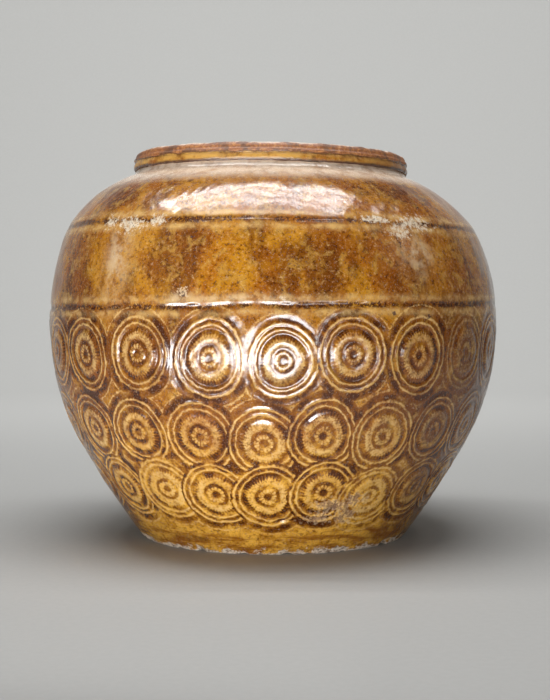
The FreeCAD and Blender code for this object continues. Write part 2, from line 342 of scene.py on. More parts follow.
def base_section():
    """The base slab, from the middle of its underside round its edge to the middle of the floor."""
    under = np.stack((np.linspace(0, FOOT_RADIUS, UNDERSIDE_STEPS), np.zeros(UNDERSIDE_STEPS)), axis=1)
    heights = spaced(0, BASE_EDGE_HEIGHT, FINE_STEP)[1:]
    radius, out, up = wall_at(heights)
    floor_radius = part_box("base_corner_coil")[1].x
    floor_radii = np.linspace(floor_radius, 0, FLOOR_STEPS)
    floor = np.stack((floor_radii, np.full(FLOOR_STEPS, FLOOR_HEIGHT)), axis=1)
    points = np.concatenate((under, np.stack((radius, heights), axis=1), floor))
    section = outline_section(points, [1] * (len(under) + len(heights)) + [0] * len(floor))
    section.out[len(under):-len(floor)] = out
    section.up[len(under):-len(floor)] = up
    section.out[: len(under)] = 0
    section.up[: len(under)] = -1
    return section


# Hand work: everything that moves the surface off the plain outline


def waves(count, slowest, fastest, steepness):
    """Random ripples as whole waves round the jar: waves per turn, per metre up, phase and share."""
    turns = np.round(np.exp(random.uniform(math.log(slowest), math.log(fastest), count)))
    tall = random.normal(0, 1, count) * turns * steepness / BELLY_RADIUS
    phase = random.uniform(0, math.tau, count)
    return np.stack((turns, tall, phase, np.full(count, count**-0.5)), axis=1)


def ripple(turn, height, field):
    total = np.zeros_like(turn)
    for around, up, phase, share in field:
        total += share * np.cos(around * turn + up * height + phase)
    return total


# Ripples: how many, the slowest and fastest round the jar, and how steeply they run
WARP = waves(14, 1, 5, 0.7)
DIMPLES = waves(40, 8, 40, 1.0)
PEEL = waves(60, 50, 160, 1.0)
LINE_DRIFT = waves(16, 2, 26, 0)
LINE_PRESS = waves(30, 6, 90, 0)
GRIT = waves(90, 90, 420, 0.8)
CHIPS = waves(40, 9, 60, 0.3)
SCAR_PITS = waves(70, 120, 380, 1.0)

WARP_SIZE = 0.0006
DIMPLE_SIZE = 0.00022
PEEL_SIZE = 0.00004
NECK_CALM = 0.016
WARP_FULL_HEIGHT = 0.05
DIMPLES_FULL_HEIGHT = 0.02
FOOT_WEAR_HEIGHT = 0.0065
CHIP_DEPTH = 0.0016
CHIP_SILL = 0.35
CHIP_MOST = 2.0
GRIT_DEPTH = 0.00025
SCAR_DEPTH_SHARE = 0.7
SCAR_PIT_SHARE = 0.9
SCAR_MOST = 2.0
LOOK_MOST = 1.5
LIP_DIMPLE_SIZE = 0.00025
LIP_PEEL_SIZE = 0.00008
LIP_CALM = 0.005


def around(turn):
    """A turn brought into the half circle on each side of the front."""
    return (turn + math.pi) % math.tau - math.pi


def smooth(share):
    share = np.clip(share, 0, 1)
    return share * share * (3 - 2 * share)


def full_row(front, height):
    """A row of roundels: the ones seen, and the rest of the circle at an even step."""
    first, last = front[0][0], front[-1][0]
    gap = 360 - (last - first)
    count = round(gap / ROW_STEP)
    places = list(front)
    for number in range(1, count):
        stray = random.normal(0, ROW_STRAY_TURN), random.normal(0, ROW_STRAY_HEIGHT)
        places.append((last + gap * number / count + stray[0], height + stray[1]))
    return places


def make_stamps():
    """Every roundel in the order in which it was pressed, a later one over an earlier one."""
    stamps = []
    rows = (
        full_row(UPPER_ROW, UPPER_ROW_HEIGHT),
        full_row(MIDDLE_ROW, MIDDLE_ROW_HEIGHT),
        full_row(LOWER_ROW, LOWER_ROW_HEIGHT),
    )
    for row in rows:
        for turn, height in row:
            width = STAMP_HALF_WIDTH * random.normal(1, STAMP_SIZE_STRAY_SHARE)
            tall = STAMP_HALF_HEIGHT * random.normal(1, STAMP_SIZE_STRAY_SHARE)
            twist = random.uniform(0, math.tau)
            press = random.uniform(*STAMP_PRESS_SHARES)
            lean = random.normal(0, STAMP_LEAN_SHARE, 2)
            wobble = random.normal(0, STAMP_WOBBLE_SHARE, 4)
            if (turn, height) in FAINT:
                press *= FAINT_SHARE
            stamps.append(Stamp(math.radians(turn), height, width, tall, twist, press, *lean, wobble))
    return stamps


STAMPS = make_stamps()


def in_stamp(stamp, turn, height):
    """Place within a roundel, as shares of its half width and half height."""
    across = wall_at(height)[0] * around(turn - stamp.turn) / stamp.half_width
    up = (length_up(height) - length_up(stamp.height)) / stamp.half_height
    angle = np.arctan2(up, across)
    grow = 1 + stamp.wobble[0] * np.cos(2 * angle) + stamp.wobble[1] * np.sin(2 * angle)
    grow += stamp.wobble[2] * np.cos(3 * angle) + stamp.wobble[3] * np.sin(3 * angle)
    return across * grow, up * grow


def stamp_owner(turn, height):
    """Number of the roundel that each place belongs to, the last pressed or else the nearest, or -1."""
    owner = np.full(turn.shape, -1)
    nearest = np.full(turn.shape, STAMP_EDGE_SHARE)
    for number, stamp in enumerate(STAMPS):
        share = np.hypot(*in_stamp(stamp, turn, height))
        own = (share < STAMP_RIM_SHARE) | (share < nearest)
        owner[own] = number
        nearest[own] = np.where(share[own] < STAMP_RIM_SHARE, 0, share[own])
    return owner


def stamp_profile(share):
    """Pressed depth over the radius, eased from one turning point to the next."""
    places, depths = np.array(STAMP_PROFILE_SHARES).T
    index = np.clip(np.searchsorted(places, share) - 1, 0, len(places) - 2)
    step = smooth((share - places[index]) / (places[index + 1] - places[index]))
    return depths[index] * (1 - step) + depths[index + 1] * step


def pressed(turn, height):
    """Depth of the roundels at each place, as a share of the stamp's depth."""
    depth = np.zeros_like(turn)
    for stamp in STAMPS:
        near = np.abs(around(turn - stamp.turn)) < STAMP_REACH_RADIANS
        across, up = in_stamp(stamp, turn[near], height[near])
        share = np.hypot(across, up)
        lean = 1 + stamp.lean_across * across + stamp.lean_up * up
        inside = smooth((STAMP_RIM_SHARE - share) / STAMP_RIM_BLEND_SHARE)
        own = stamp_profile(np.minimum(share, STAMP_EDGE_SHARE)) * stamp.press * lean
        earlier = depth[near]
        depth[near] = np.maximum(earlier, own) * (1 - inside) + own * inside
    return depth


def turned_line(turn, height, line_height, half_width):
    """Depth of a turned line at each place as a share, and how much the clay beside it is thrown up."""
    drift = LINE_WANDER * ripple(turn, 0 * turn, LINE_DRIFT)
    off = (length_up(height) - length_up(line_height) - drift) / half_width
    bite = LINE_BITE_SHARE + LINE_BITE_STRAY_SHARE * ripple(turn, 0 * turn, LINE_PRESS)
    bite = np.clip(bite, *LINE_BITE_LIMIT_SHARES)
    return bite * np.exp(-(off**2)), np.exp(-((np.abs(off) - LINE_RIDGE_SHARE) ** 2))


# Marks left by firing and use, and dark clouds that are partly painted shade: turn in degrees, height,
# half size across and up, and depth
CRATERS = (Mark(-20.5, 0.1718, 0.0034, 0.0028, 0.0006),)
PITS = (
    Mark(2.1, 0.1735, 0.0020, 0.0024, 0.0007),
    Mark(28.1, 0.1582, 0.0024, 0.0022, 0.0006),
    Mark(38.2, 0.1562, 0.0050, 0.0022, 0.0004),
    Mark(32.3, 0.2034, 0.0020, 0.0034, 0.0008),
    Mark(3.1, 0.0254, 0.0036, 0.0014, 0.0018),
)
SKIPS = (
    Mark(-45.0, 0.2170, 0.0070, 0.0050, 0.0002),
    Mark(-37.5, 0.2150, 0.0130, 0.0055, 0.0002),
    Mark(-30.0, 0.2170, 0.0080, 0.0040, 0.0002),
    Mark(33.0, 0.2120, 0.0090, 0.0060, 0.0003),
    Mark(39.0, 0.2180, 0.0160, 0.0060, 0.0001),
    Mark(27.0, 0.2190, 0.0110, 0.0030, 0.0001),
    Mark(2.1, 0.1686, 0.0040, 0.0014, 0.0002),
)
# Dark clouds in the glaze; those from about 38 degrees round to the right are partly darker glaze and
# partly painted shade for the light falling off on that side
DARK_CLOUDS_AND_SHADE = (
    Mark(-56.0, 0.1900, 0.0130, 0.0300),
    Mark(-19.0, 0.1950, 0.0110, 0.0180),
    Mark(12.0, 0.1880, 0.0160, 0.0200),
    Mark(30.0, 0.1800, 0.0180, 0.0150),
    Mark(52.0, 0.1350, 0.0350, 0.0300),
    Mark(66.0, 0.1000, 0.0400, 0.0450),
    Mark(56.0, 0.0550, 0.0260, 0.0250),
    Mark(38.0, 0.1000, 0.0180, 0.0140),
    Mark(48.0, 0.0850, 0.0180, 0.0200),
    Mark(78.0, 0.1500, 0.0300, 0.0500),
    Mark(45.0, 0.2400, 0.0300, 0.0100),
    Mark(-50.0, 0.2350, 0.0160, 0.0120),
    Mark(-66.0, 0.0300, 0.0240, 0.0260),
    Mark(49.0, 0.0480, 0.0320, 0.0300),
    Mark(58.0, 0.1150, 0.0480, 0.0420),
    Mark(62.0, 0.0200, 0.0340, 0.0240),
    Mark(44.0, 0.0120, 0.0160, 0.0080),
    Mark(-32.0, 0.0100, 0.0240, 0.0040),
)
GOLD_CLOUDS = (
    Mark(-31.0, 0.1900, 0.0160, 0.0220),
    Mark(-6.0, 0.1880, 0.0150, 0.0200),
    Mark(-40.0, 0.0600, 0.0600, 0.0300),
    Mark(5.0, 0.0500, 0.0500, 0.0300),
    Mark(20.0, 0.1050, 0.0200, 0.0100),
)
PALE_RUNS = (
    Mark(-40.0, 0.1940, 0.0100, 0.0240),
    Mark(37.0, 0.1970, 0.0130, 0.0130),
    Mark(-21.0, 0.1690, 0.0080, 0.0040),
    Mark(-8.0, 0.1680, 0.0300, 0.0030),
)
SCARS = (
    Mark(19.2, 0.0350, 0.0130, 0.0060, 0.0008),
    Mark(25.4, 0.0385, 0.0080, 0.0050, 0.0008),
    Mark(14.6, 0.0262, 0.0090, 0.0040, 0.0006),
    Mark(24.0, 0.0270, 0.0070, 0.0060, 0.0004),
)


def mark_strength(turn, height, marks):
    """How strongly listed marks show at each place, and how deep they go in metres."""
    strength = np.zeros_like(turn)
    depth = np.zeros_like(turn)
    for mark in marks:
        across = wall_at(height)[0] * around(turn - math.radians(mark.turn)) / mark.across
        up = (length_up(height) - length_up(mark.height)) / mark.tall
        here = np.exp(-(across**2 + up**2))
        strength = np.maximum(strength, here)
        depth += here * mark.depth
    return strength, depth


def worked_surface(turn, height):
    """How far the wall's outside stands off its outline, and what the glaze needs to know there."""
    roundels = pressed(turn, height)
    lower_line, lower_ridge = turned_line(turn, height, LOWER_LINE_HEIGHT, LINE_HALF_WIDTH)
    upper_line, upper_ridge = turned_line(turn, height, UPPER_LINE_HEIGHT, UPPER_LINE_HALF_WIDTH)
    lines = lower_line + upper_line
    pits, pit_depth = mark_strength(turn, height, PITS)
    craters, crater_depth = mark_strength(turn, height, CRATERS)
    skips, skip_depth = mark_strength(turn, height, SKIPS)
    scars, scar_depth = mark_strength(turn, height, SCARS)
    pale_runs = mark_strength(turn, height, PALE_RUNS)[0]
    dark_clouds_and_shade = mark_strength(turn, height, DARK_CLOUDS_AND_SHADE)[0]
    gold_clouds = mark_strength(turn, height, GOLD_CLOUDS)[0]
    foot = smooth((FOOT_WEAR_HEIGHT - height) / FOOT_WEAR_HEIGHT)
    chip = np.clip(ripple(turn, height, CHIPS) - CHIP_SILL, 0, CHIP_MOST)
    scar_pits = SCAR_DEPTH_SHARE + SCAR_PIT_SHARE * ripple(turn, height, SCAR_PITS)
    offset = WARP_SIZE * smooth(height / WARP_FULL_HEIGHT) * ripple(turn, height, WARP)
    offset += DIMPLE_SIZE * smooth(height / DIMPLES_FULL_HEIGHT) * ripple(turn, height, DIMPLES)
    offset += PEEL_SIZE * ripple(turn, height, PEEL)
    offset *= smooth((NECK_ROOT_HEIGHT - height) / NECK_CALM)
    offset -= STAMP_DEPTH * roundels + LINE_DEPTH * (lower_line + UPPER_LINE_SHARE * upper_line)
    offset -= pit_depth + crater_depth + skip_depth
    offset -= scar_depth * np.clip(scar_pits, 0, SCAR_MOST)
    offset -= foot * (CHIP_DEPTH * chip + GRIT_DEPTH * np.abs(ripple(turn, height, GRIT)))
    looks = {
        "pressed": np.clip(roundels, 0, LOOK_MOST),
        "line": np.clip(lines, 0, LOOK_MOST),
        "ridge": lower_ridge + upper_ridge,
        "pit": np.maximum(pits, craters),
        "crater": craters,
        "skip": skips,
        "scar": scars,
        "pale_run": pale_runs,
        "dark_cloud_and_shade": dark_clouds_and_shade,
        "gold_cloud": gold_clouds,
    }
    return offset, looks


SETTLE_HEIGHTS = (0.0, 0.09, LOWER_LINE_HEIGHT, UPPER_LINE_HEIGHT, 0.26)
SETTLE_TILTS = (0.0, 0.0, 0.010, -0.011, -0.0150)
SETTLE_ASIDES = (0.0, 0.0, 0.0, -0.0008, -0.0020)


def settle(points):
    """The jar's slight lean: its rings tilt one way and the other, and the mouth sits a little left."""
    height = points[:, 2]
    tilt = np.interp(height, SETTLE_HEIGHTS, SETTLE_TILTS)
    aside = np.interp(height, SETTLE_HEIGHTS, SETTLE_ASIDES)
    settled = points.copy()
    settled[:, 2] += tilt * points[:, 0]
    settled[:, 0] += aside
    return settled


# Meshes


def read_points(mesh):
    points = np.empty(len(mesh.vertices) * 3, np.float32)
    mesh.vertices.foreach_get("co", points)
    return points.reshape(-1, 3).astype(float)


def give(mesh, name, domain, values):
    mesh.attributes.new(name, "FLOAT", domain).data.foreach_set("value", values.astype(np.float32))


def rolled_grid(name, rows):
    """A flat sheet to be rolled round the axis, with the turn and the row of each of its points."""
    sheet = bmesh.new()
    bmesh.ops.create_grid(sheet, x_segments=COLUMNS, y_segments=rows, size=1)
    mesh = bpy.data.meshes.new(name)
    sheet.to_mesh(mesh)
    sheet.free()
    flat = read_points(mesh)
    turn = flat[:, 0] * math.pi
    row = np.rint((flat[:, 1] + 1) / 2 * rows).astype(int)
    return mesh, turn, row


def close_ring(mesh):
    """Joins the sheet's edges, turns its faces outwards and keeps corners between finishes crisp."""
    ring = bmesh.new()
    ring.from_mesh(mesh)
    bmesh.ops.remove_doubles(ring, verts=ring.verts, dist=WELD)
    bmesh.ops.recalc_face_normals(ring, faces=ring.faces)
    for edge in ring.edges:
        if len(edge.link_faces) == 2:
            first, second = edge.link_faces
            edge.smooth = first.material_index == second.material_index
    ring.to_mesh(mesh)
    ring.free()


def map_roundels(mesh, turn, height):
    """Lays each face into its own roundel, so that the glaze can follow the stamp's rings and teeth."""
    corners = np.empty(len(mesh.loops), np.int32)
    mesh.loops.foreach_get("vertex_index", corners)
    corners = corners.reshape(-1, 4)
    face_turn, face_height = turn[corners].mean(axis=1), height[corners].mean(axis=1)
    owner = stamp_owner(face_turn, face_height)
    places = np.full(corners.shape + (2,), OUTSIDE_SHARE)
    press = np.zeros(len(owner))
    for number, stamp in enumerate(STAMPS):
        own = owner == number
        across, up = in_stamp(stamp, turn[corners[own]], height[corners[own]])
        cos, sin = math.cos(stamp.twist), math.sin(stamp.twist)
        places[own, :, 0] = across * cos - up * sin
        places[own, :, 1] = across * sin + up * cos
        press[own] = stamp.press
    layer = mesh.uv_layers.new(name="roundel")
    layer.data.foreach_set("uv", places.astype(np.float32).ravel())
    give(mesh, "press", "FACE", press)


def make_ring(name, section, finishes, closed=True, stamped=False, surface=worked_surface):
    """Rolls a section round the axis, works its outside, and makes the piece that stands for a node."""
    count = len(section.radius)
    mesh, turn, row = rolled_grid(name, count if closed else count - 1)
    row %= count
    height, skin = section.height[row], section.skin[row]
    offset = np.zeros_like(turn)
    shown = skin > 0
    offset[shown], looks = surface(turn[shown], height[shown])
    radius = section.radius[row] + section.out[row] * offset
    rise = height + section.up[row] * offset
    points = np.stack((radius * np.sin(turn), -radius * np.cos(turn), rise), axis=1)
    mesh.vertices.foreach_set("co", settle(points).astype(np.float32).ravel())
    for look, values in looks.items():
        everywhere = np.zeros_like(turn)
        everywhere[shown] = values
        give(mesh, look, "POINT", everywhere)
    give(mesh, "along", "POINT", section.along[row])
    if stamped:
        map_roundels(mesh, turn, height)
    faces = np.empty(len(mesh.loops), np.int32)
    mesh.loops.foreach_get("vertex_index", faces)
    inside = skin[faces.reshape(-1, 4)].min(axis=1) < 0.5
    for finish in finishes:
        mesh.materials.append(finish)
    mesh.polygons.foreach_set("material_index", inside.astype(np.int32))
    mesh.polygons.foreach_set("use_smooth", np.ones(len(inside), bool))
    close_ring(mesh)
    piece = bpy.data.objects.new(name, mesh)
    bpy.context.scene.collection.objects.link(piece)
    return piece


# Finishes


def add(tree, kind, inputs=(), **settings):
    """A node with its settings and inputs, by name or in order: a socket is linked, a value is set."""
    node = tree.nodes.new(kind)
    for key, value in settings.items():
        setattr(node, key, value)
    pairs = inputs.items() if isinstance(inputs, dict) else enumerate(inputs)
    for key, value in pairs:
        if isinstance(value, bpy.types.NodeSocket):
            tree.links.new(value, node.inputs[key])
        else:
            node.inputs[key].default_value = value
    return node


def calc(tree, operation, *values):
    return add(tree, "ShaderNodeMath", values, operation=operation).outputs[0]


def times(tree, first, second):
    return calc(tree, "MULTIPLY", first, second)


def plus(tree, first, second):
    return calc(tree, "ADD", first, second)


def less(tree, first, second):
    return calc(tree, "SUBTRACT", first, second)


def most(tree, first, *others):
    """The greatest of several tones."""
    for other in others:
        first = calc(tree, "MAXIMUM", first, other)
    return first


def blend(tree, share, first, second, kind="MIX"):
    inputs = {0: share, 6: first, 7: second}
    return add(tree, "ShaderNodeMix", inputs, data_type="RGBA", blend_type=kind).outputs[2]


def noise(tree, vector, scale, detail, roughness, distortion=0.0):
    inputs = {"Vector": vector, "Scale": scale, "Detail": detail, "Roughness": roughness}
    return add(tree, "ShaderNodeTexNoise", {**inputs, "Distortion": distortion}).outputs["Fac"]


def span(tree, value, low, high, to_low=0.0, to_high=1.0):
    """A value brought from one span to another, eased and kept within it."""
    inputs = (value, low, high, to_low, to_high)
    return add(tree, "ShaderNodeMapRange", inputs, interpolation_type="SMOOTHSTEP").outputs[0]


def tint(tree, colour, tone, value, low, high, share):
    """A colour taken towards a tone as a value goes from low to high, by up to a share."""
    return blend(tree, span(tree, value, low, high, 0.0, share), colour, tone)


def look(tree, name):
    return add(tree, "ShaderNodeAttribute", attribute_name=name).outputs["Fac"]


def ramp(tree, value, stops):
    node = add(tree, "ShaderNodeValToRGB", (value,))
    band = node.color_ramp
    band.interpolation = "EASE"
    while len(band.elements) < len(stops):
        band.elements.new(1.0)
    for element, (place, level) in zip(band.elements, stops):
        element.position = place
        element.color = (level, level, level, 1)
    return node.outputs["Color"]


def start_finish(name):
    material = bpy.data.materials.new(name)
    material.use_nodes = True
    tree = material.node_tree
    tree.nodes.clear()
    place = add(tree, "ShaderNodeTexCoord").outputs["Object"]
    return material, tree, place


def finish_with(tree, colour, roughness, height, bump_size):
    bump = add(tree, "ShaderNodeBump", {"Strength": 1.0, "Distance": bump_size, "Height": height})
    inputs = {"Base Color": colour, "Roughness": roughness, "Normal": bump.outputs["Normal"]}
    shader = add(tree, "ShaderNodeBsdfPrincipled", inputs)
    add(tree, "ShaderNodeOutputMaterial", {"Surface": shader.outputs[0]})
    return shader


GLAZE_IOR = 1.62
GLOSS_ROUGHNESS = 0.15
WORN_ROUGHNESS = 0.75
GLAZE_BUMP = 0.00008
LIP_BUMP = 0.0003
CLAY_BUMP = 0.0004
PAPER_BUMP = 0.00005


def stretched(tree, place, up_scale):
    """A place with its height scaled, so that what follows it runs up and down or round the jar."""
    return add(tree, "ShaderNodeMapping", {"Vector": place, "Scale": (1.0, 1.0, up_scale)}).outputs[0]


def glazed(shader):
    """The gloss of a fired glaze."""
    shader.inputs["IOR"].default_value = GLAZE_IOR


AMBER = (0.290, 0.090, 0.0035, 1)
GOLD = (0.395, 0.168, 0.009, 1)
OLIVE = (0.430, 0.240, 0.045, 1)
RUST = (0.200, 0.054, 0.003, 1)
BROWN = (0.100, 0.026, 0.002, 1)
POOL = (0.046, 0.009, 0.0004, 1)
POOL_EDGE = (0.150, 0.042, 0.002, 1)
TAN = (0.630, 0.405, 0.150, 1)
SHADE = (0.360, 0.270, 0.200, 1)
PLUM = (0.050, 0.026, 0.028, 1)
SPECK = (0.018, 0.007, 0.003, 1)
BUFF = (0.560, 0.420, 0.260, 1)
# Straw: the glaze's own yellower tone near the foot, made brighter as painted light for the lower wall
STRAW_AND_LIGHT = (0.700, 0.375, 0.048, 1)
# Painted sheen: this pale tone on the neck stands in for the reflection of the lamps above
NECK_SHEEN = (0.680, 0.550, 0.430, 1)
CRAWL = (0.600, 0.520, 0.400, 1)
GRIT_PALE = (0.66, 0.56, 0.46, 1)
GRIT_DARK = (0.20, 0.13, 0.08, 1)


# Heights where the glaze changes: each tone starts at the first and is full at the second
# The straw tone towards the foot is partly the glaze's own colour and partly painted light, lightening the
# lower wall as low lamps would
STRAW_AND_LIGHT_SPAN = (0.10, 0.03)
# The pale band on the neck is a painted sheen, not a glaze colour
NECK_SHEEN_SPAN = (0.2430, 0.2520)
WIPE_SPAN = (0.032, 0.012)
BARE_SPAN = (0.0036, 0.0021)
BARE_STRAY = 0.003

# Patterns: spots to the metre, detail, roughness and, for some, how far they are pulled about
CLOUD_PATTERN = (26, 4, 0.6, 0.8)
RUST_PATTERN = (38, 4, 0.6)
RUN_PATTERN = (60, 4, 0.65, 0.4)
BLOTCH_PATTERN = (120, 3, 0.6, 0.5)
MOTTLE_PATTERN = (420, 3, 0.68)
GRAIN_PATTERN = (1000, 2, 0.6)
STAIN_PATTERN = (60, 4, 0.7)
STAIN_FLECK_PATTERN = (330, 2, 0.55)
POOL_EDGE_PATTERN = (220, 3, 0.6)
FLECK_PATTERN = (540, 2, 0.6)
THICKNESS_PATTERN = (34, 3, 0.6)
FADE_PATTERN = (110, 3, 0.6)
PATCH_PATTERN = (120, 3, 0.65)
RAGGED_PATTERN = (330, 4, 0.75)
WIPE_PATTERN = (45, 4, 0.65)
BARE_EDGE_PATTERN = (110, 4, 0.7)
FOOT_GRIT_PATTERN = (420, 3, 0.7)
RUN_STRETCH = 0.30
WIPE_STRETCH = 7.0


def mottled_glaze(tree, place):
    """Amber glaze: slow clouds, runs down the wall, fine mottle and grain, specks and plum stains, lighter
    towards the foot partly as painted light, and darker on the right partly as painted shade.
    """
    rise = add(tree, "ShaderNodeSeparateXYZ", (place,)).outputs[2]
    # Dark clouds: darker glaze, and on the right side painted shade as well
    dark_cloud_and_shade = look(tree, "dark_cloud_and_shade")
    # Towards the foot the glaze goes lighter and yellower: partly its own colour, partly painted light
    low = times(tree, span(tree, rise, *STRAW_AND_LIGHT_SPAN), span(tree, dark_cloud_and_shade, 0.1, 0.9, 1, 0.3))
    clouds = plus(tree, noise(tree, place, *CLOUD_PATTERN), times(tree, low, 0.14))
    clouds = plus(tree, clouds, times(tree, look(tree, "gold_cloud"), 0.13))
    rust = less(tree, noise(tree, place, *RUST_PATTERN), times(tree, low, 0.10))
    rust = plus(tree, rust, times(tree, dark_cloud_and_shade, 0.25))
    runs = noise(tree, stretched(tree, place, RUN_STRETCH), *RUN_PATTERN)
    runs = less(tree, runs, times(tree, low, 0.10))
    runs = plus(tree, runs, times(tree, dark_cloud_and_shade, 0.17))
    blotch = noise(tree, place, *BLOTCH_PATTERN)
    mottle = noise(tree, place, *MOTTLE_PATTERN)
    grain = noise(tree, place, *GRAIN_PATTERN)
    colour = blend(tree, span(tree, clouds, 0.40, 0.60), AMBER, GOLD)
    colour = tint(tree, colour, RUST, rust, 0.48, 0.64, 0.75)
    colour = tint(tree, colour, BROWN, runs, 0.46, 0.70, 0.8)
    colour = tint(tree, colour, OLIVE, blotch, 0.50, 0.68, 0.55)
    colour = tint(tree, colour, RUST, blotch, 0.46, 0.30, 0.55)
    straw_and_light = times(tree, low, span(tree, blotch, 0.36, 0.60, 0.25, 0.95))
    colour = blend(tree, straw_and_light, colour, STRAW_AND_LIGHT)
    colour = tint(tree, colour, TAN, mottle, 0.54, 0.76, 0.45)
    colour = blend(tree, span(tree, mottle, 0.49, 0.32, 0.0, 0.9), colour, SHADE, "MULTIPLY")
    colour = blend(tree, span(tree, grain, 0.48, 0.32, 0.0, 0.7), colour, SHADE, "MULTIPLY")
    colour = tint(tree, colour, SPECK, grain, 0.34, 0.26, 0.8)
    stains = times(tree, noise(tree, place, *STAIN_PATTERN), noise(tree, place, *STAIN_FLECK_PATTERN))
    colour = tint(tree, colour, PLUM, stains, 0.39, 0.46, 0.7)
    return colour, mottle, grain


def roundel_tone(tree, place):
    """Where the glaze pools in the stamp's rings and between its teeth, and where its thin rims show."""
    within = add(tree, "ShaderNodeUVMap", uv_map="roundel").outputs[0]
    axes = add(tree, "ShaderNodeSeparateXYZ", (within,))
    share = add(tree, "ShaderNodeVectorMath", (within,), operation="LENGTH").outputs["Value"]
    stray = noise(tree, place, *POOL_EDGE_PATTERN)
    share = plus(tree, share, span(tree, stray, 0.25, 0.75, -POOL_STRAY_SHARE, POOL_STRAY_SHARE))
    reach = STAMP_EDGE_SHARE * POOL_REACH_SHARE
    stops = [(place_share / reach, depth) for place_share, depth in STAMP_POOL_SHARES]
    rings = ramp(tree, calc(tree, "DIVIDE", share, reach), stops)
    angle = calc(tree, "ARCTAN2", axes.outputs[1], axes.outputs[0])
    teeth = calc(tree, "SINE", times(tree, angle, float(STAMP_TEETH)))
    teeth = times(tree, teeth, ramp(tree, share, TEETH_STOP_SHARES))
    nicks = calc(tree, "SINE", times(tree, angle, float(BOSS_NICKS)))
    nicks = times(tree, nicks, ramp(tree, share, NICK_STOP_SHARES))
    tone = plus(tree, rings, times(tree, plus(tree, teeth, nicks), CUT_SHARE))
    rims = ramp(tree, share, RIM_STOP_SHARES)
    press = look(tree, "press")
    return times(tree, tone, press), times(tree, rims, press)


def roundel_glaze(tree, place, colour, mottle, fleck):
    """Lays the roundels over the glaze, tan on ridges and dark in rings, and gives their tone."""
    tone, rims = roundel_tone(tree, place)
    inside = span(tree, look(tree, "press"), 0.0, 0.1)
    thick = noise(tree, place, *THICKNESS_PATTERN)
    fade = noise(tree, place, *FADE_PATTERN)
    ridge = times(tree, span(tree, tone, 0.42, 0.12), inside)
    ridge = times(tree, ridge, span(tree, thick, 0.65, 0.35, 0.35, 0.9))
    ridge = times(tree, ridge, span(tree, mottle, 0.38, 0.60, 0.2, 0.95))
    # Ridges stay dark in the dark clouds, which on the right side are partly painted shade
    ridge = times(tree, ridge, span(tree, look(tree, "dark_cloud_and_shade"), 0.05, 0.85, 1.0, 0.3))
    colour = blend(tree, ridge, colour, TAN)
    pool = times(tree, tone, span(tree, thick, 0.3, 0.7, 0.75, 1.2))
    pool = times(tree, pool, span(tree, fade, 0.36, 0.62, 0.35, 1.15))
    pool = times(tree, pool, span(tree, fleck, 0.34, 0.62, 0.72, 1.12))
    colour = tint(tree, colour, POOL_EDGE, pool, 0.10, 0.50, 0.85)
    colour = tint(tree, colour, POOL, pool, 0.42, 0.95, 0.92)
    rims = times(tree, rims, span(tree, fade, 0.34, 0.64, 0.46, 0.06))
    return blend(tree, rims, colour, TAN), tone


def line_glaze(tree, colour, patch, fleck):
    """Lays the pale ridges and runs and the dark turned lines over the glaze, and gives the lines."""
    ridge = times(tree, look(tree, "ridge"), span(tree, patch, 0.35, 0.65, 0.1, 0.6))
    colour = blend(tree, ridge, colour, TAN)
    pale_run = times(tree, look(tree, "pale_run"), span(tree, patch, 0.36, 0.62, 0.1, 0.7))
    colour = blend(tree, pale_run, colour, BUFF)
    line = times(tree, look(tree, "line"), span(tree, patch, 0.28, 0.62, 0.45, 1.25))
    line = times(tree, line, span(tree, fleck, 0.38, 0.58, 0.3, 1.1))
    return tint(tree, colour, POOL, line, 0.05, 0.85, 0.94), line


def fired_marks(tree, place, colour, fleck, grain):
    """Lays craters, pits, skips in the glaze and scars over it, and gives the skips and scars."""
    crater = plus(tree, look(tree, "crater"), span(tree, fleck, 0.3, 0.7, -0.45, 0.45))
    colour = tint(tree, colour, BUFF, crater, 0.35, 0.6, 0.7)
    pit = plus(tree, look(tree, "pit"), span(tree, fleck, 0.3, 0.7, 0.3, -0.3))
    colour = tint(tree, colour, PLUM, pit, 0.65, 0.95, 0.85)
    ragged = noise(tree, place, *RAGGED_PATTERN)
    skip = plus(tree, look(tree, "skip"), span(tree, ragged, 0.3, 0.7, -0.55, 0.55))
    skip = span(tree, skip, 0.30, 1.05, 0.0, 0.85)
    skip = times(tree, skip, span(tree, look(tree, "skip"), 0.01, 0.15))
    colour = blend(tree, skip, colour, blend(tree, span(tree, ragged, 0.4, 0.62), BUFF, CRAWL))
    skip_specks = times(tree, skip, span(tree, grain, 0.46, 0.36, 0.0, 0.8))
    colour = blend(tree, skip_specks, colour, SPECK)
    scar = plus(tree, look(tree, "scar"), span(tree, ragged, 0.3, 0.7, -0.6, 0.5))
    scar = times(tree, scar, span(tree, look(tree, "scar"), 0.01, 0.15))
    colour = tint(tree, colour, BUFF, scar, 0.30, 0.6, 0.45)
    return tint(tree, colour, BROWN, scar, 0.60, 0.90, 0.7), skip, scar


